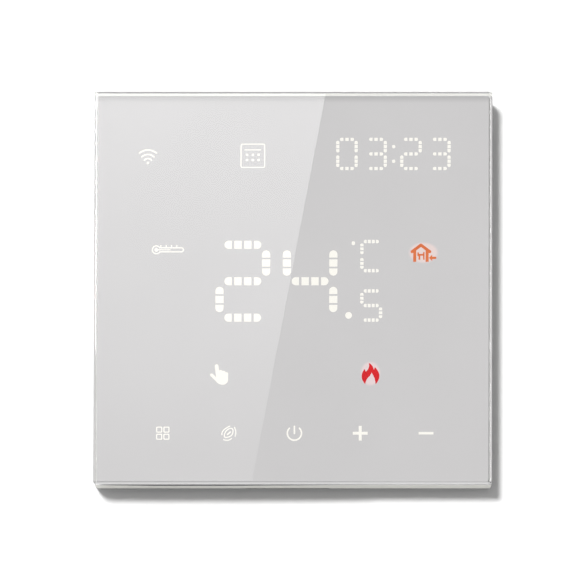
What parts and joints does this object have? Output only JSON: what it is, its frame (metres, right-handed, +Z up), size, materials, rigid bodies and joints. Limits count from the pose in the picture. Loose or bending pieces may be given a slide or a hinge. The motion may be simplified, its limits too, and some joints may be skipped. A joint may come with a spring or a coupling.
{
  "type": "wall thermostat",
  "caption": "Square flush wall thermostat with a glass touch front, a hidden lit display and a rear box that fits a standard square wall box.",
  "frame": {"origin": "middle of the two wall screw slots, on the wall plane", "axes": "+Y into the wall, the glass faces -Y, +Z up, +X to the right as seen from the room"},
  "size_m": [0.086, 0.0407, 0.086],
  "materials": {
    "clear_glass": "polished tempered glass, clear",
    "grey_print": "screen-printed ink, pale warm grey",
    "foam_tape": "closed-cell adhesive foam",
    "pale_plastic": "fine matt texture, warm white",
    "grey_plastic": "fine matt texture, slate grey",
    "diffuser": "milky film",
    "white_mask": "white reflective moulding",
    "circuit_board": "green solder mask on glass laminate",
    "lamp": "white lamp chip with phosphor",
    "spring_steel": "bright drawn wire",
    "screw_steel": "zinc-plated steel",
    "black_moulding": "black engineering plastic",
    "module_blue": "blue-black solder mask",
    "tin_shield": "tinned sheet",
    "cell_steel": "nickel-plated can",
    "sensor_glass": "dark resin bead",
    "warm_white_light": "translucent print, lit warm white",
    "orange_light": "translucent print, lit orange",
    "red_light": "translucent print, lit red",
    "zinc_sheet": "galvanised sheet",
    "housing_white": "flame-retardant plastic, off-white",
    "label_paper": "blank matt polyester label",
    "power_laminate": "amber phenolic laminate",
    "gold_contact": "gilded brass",
    "relay_case": "black moulded case",
    "ferrite": "sintered ferrite",
    "coil_tape": "yellow polyester tape",
    "capacitor_sleeve": "shrink sleeve",
    "film_capacitor": "yellow moulded case",
    "varistor_blue": "blue epoxy coating",
    "resistor_grey": "cement coating",
    "terminal_green": "glass-filled nylon, green",
    "tin_brass": "tinned brass"
  },
  "bodies": {
    "base": {"mounting_plate": "zinc_sheet", "base_cover": "grey_plastic", "plate_screws": "screw_steel", "latch_springs": "spring_steel", "rear_housing": "housing_white", "housing_screws": "screw_steel", "insulating_label": "label_paper", "power_board": "power_laminate", "header_pins": "gold_contact", "header_strip": "black_moulding", "relay": "relay_case", "transformer_core": "ferrite", "transformer_coil": "coil_tape", "input_capacitor": "capacitor_sleeve", "output_capacitor": "capacitor_sleeve", "safety_capacitor": "film_capacitor", "varistor": "varistor_blue", "fuse_resistor": "resistor_grey", "power_chip": "black_moulding", "terminal_block": "terminal_green", "current_bars": "tin_brass"},
    "front_half": {"glass_panel": "clear_glass", "printed_film": "grey_print", "adhesive_gasket": "foam_tape", "front_frame": "pale_plastic", "diffuser_sheet": "diffuser", "light_mask": "white_mask", "display_board": "circuit_board", "led_chips": "lamp", "touch_springs": "spring_steel", "board_screws": "screw_steel", "header_socket": "black_moulding", "controller_chip": "black_moulding", "wifi_module": "module_blue", "wifi_shield": "tin_shield", "buzzer": "black_moulding", "cell_holder": "spring_steel", "backup_cell": "cell_steel", "temperature_sensor": "sensor_glass", "temperature_digits": "warm_white_light", "clock_digits": "warm_white_light", "wifi_mark": "warm_white_light", "weekday_mark": "warm_white_light", "room_mark": "warm_white_light", "home_mark": "orange_light", "hand_mark": "warm_white_light", "flame_mark": "red_light", "touch_key_marks": "warm_white_light"},
    "screw_1": {"terminal_screw_1": "screw_steel"},
    "clamp_1": {"terminal_clamp_1": "tin_brass"},
    "screw_2": {"terminal_screw_2": "screw_steel"},
    "clamp_2": {"terminal_clamp_2": "tin_brass"},
    "screw_3": {"terminal_screw_3": "screw_steel"},
    "clamp_3": {"terminal_clamp_3": "tin_brass"},
    "screw_4": {"terminal_screw_4": "screw_steel"},
    "clamp_4": {"terminal_clamp_4": "tin_brass"},
    "screw_5": {"terminal_screw_5": "screw_steel"},
    "clamp_5": {"terminal_clamp_5": "tin_brass"},
    "screw_6": {"terminal_screw_6": "screw_steel"},
    "clamp_6": {"terminal_clamp_6": "tin_brass"}
  },
  "joints": [
    {"name": "front_half_release", "type": "slide", "parent": "base", "child": "front_half", "axis": [0, -1, 0], "range_m": [0, 0.04]},
    {"name": "terminal_screw_turn_1", "type": "hinge", "parent": "base", "child": "screw_1", "pos_m": [-0.01875, 0.0216, -0.0223], "axis": [0, 1, 0], "range_deg": [0, 1440]},
    {"name": "terminal_clamp_lift_1", "type": "slide", "parent": "base", "child": "clamp_1", "axis": [0, -1, 0], "range_m": [0, 0.002]},
    {"name": "terminal_screw_turn_2", "type": "hinge", "parent": "base", "child": "screw_2", "pos_m": [-0.01125, 0.0216, -0.0223], "axis": [0, 1, 0], "range_deg": [0, 1440]},
    {"name": "terminal_clamp_lift_2", "type": "slide", "parent": "base", "child": "clamp_2", "axis": [0, -1, 0], "range_m": [0, 0.002]},
    {"name": "terminal_screw_turn_3", "type": "hinge", "parent": "base", "child": "screw_3", "pos_m": [-0.00375, 0.0216, -0.0223], "axis": [0, 1, 0], "range_deg": [0, 1440]},
    {"name": "terminal_clamp_lift_3", "type": "slide", "parent": "base", "child": "clamp_3", "axis": [0, -1, 0], "range_m": [0, 0.002]},
    {"name": "terminal_screw_turn_4", "type": "hinge", "parent": "base", "child": "screw_4", "pos_m": [0.00375, 0.0216, -0.0223], "axis": [0, 1, 0], "range_deg": [0, 1440]},
    {"name": "terminal_clamp_lift_4", "type": "slide", "parent": "base", "child": "clamp_4", "axis": [0, -1, 0], "range_m": [0, 0.002]},
    {"name": "terminal_screw_turn_5", "type": "hinge", "parent": "base", "child": "screw_5", "pos_m": [0.01125, 0.0216, -0.0223], "axis": [0, 1, 0], "range_deg": [0, 1440]},
    {"name": "terminal_clamp_lift_5", "type": "slide", "parent": "base", "child": "clamp_5", "axis": [0, -1, 0], "range_m": [0, 0.002]},
    {"name": "terminal_screw_turn_6", "type": "hinge", "parent": "base", "child": "screw_6", "pos_m": [0.01875, 0.0216, -0.0223], "axis": [0, 1, 0], "range_deg": [0, 1440]},
    {"name": "terminal_clamp_lift_6", "type": "slide", "parent": "base", "child": "clamp_6", "axis": [0, -1, 0], "range_m": [0, 0.002]}
  ],
  "couplings": [
    {"joint": "terminal_screw_turn_1", "follows": "terminal_clamp_lift_1", "rad_per_m": 12566},
    {"joint": "terminal_screw_turn_2", "follows": "terminal_clamp_lift_2", "rad_per_m": 12566},
    {"joint": "terminal_screw_turn_3", "follows": "terminal_clamp_lift_3", "rad_per_m": 12566},
    {"joint": "terminal_screw_turn_4", "follows": "terminal_clamp_lift_4", "rad_per_m": 12566},
    {"joint": "terminal_screw_turn_5", "follows": "terminal_clamp_lift_5", "rad_per_m": 12566},
    {"joint": "terminal_screw_turn_6", "follows": "terminal_clamp_lift_6", "rad_per_m": 12566}
  ]
}
